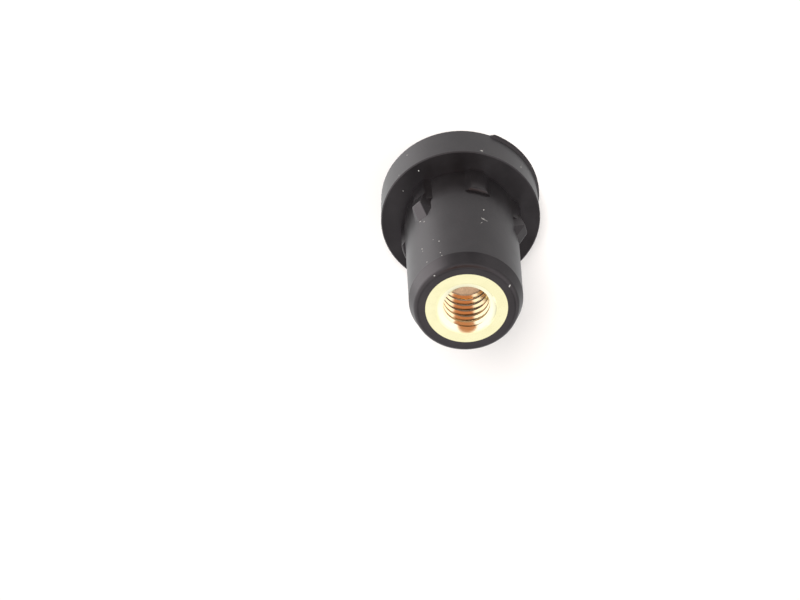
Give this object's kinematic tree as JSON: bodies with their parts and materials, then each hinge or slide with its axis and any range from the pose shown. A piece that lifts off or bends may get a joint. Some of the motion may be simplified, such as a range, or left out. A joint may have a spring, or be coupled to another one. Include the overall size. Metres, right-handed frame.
{
  "type": "rubber-sleeved rivet nut",
  "caption": "Blind rivet nut with a flanged black rubber sleeve, anti-turn ribs and snap lugs under the flange, and a threaded brass insert moulded into its tapered nose.",
  "frame": {"origin": "centre of the flange's outer face, on the axis", "axes": "+Z along the axis from the flange to the nose with the brass; +X through the first rib"},
  "size_m": [0.0182, 0.0182, 0.0221],
  "materials": {
    "rubber": "matte black moulded rubber",
    "brass": "bright turned brass"
  },
  "bodies": {
    "root": {"rubber_sleeve": "rubber", "brass_insert": "brass"}
  },
  "joints": []
}
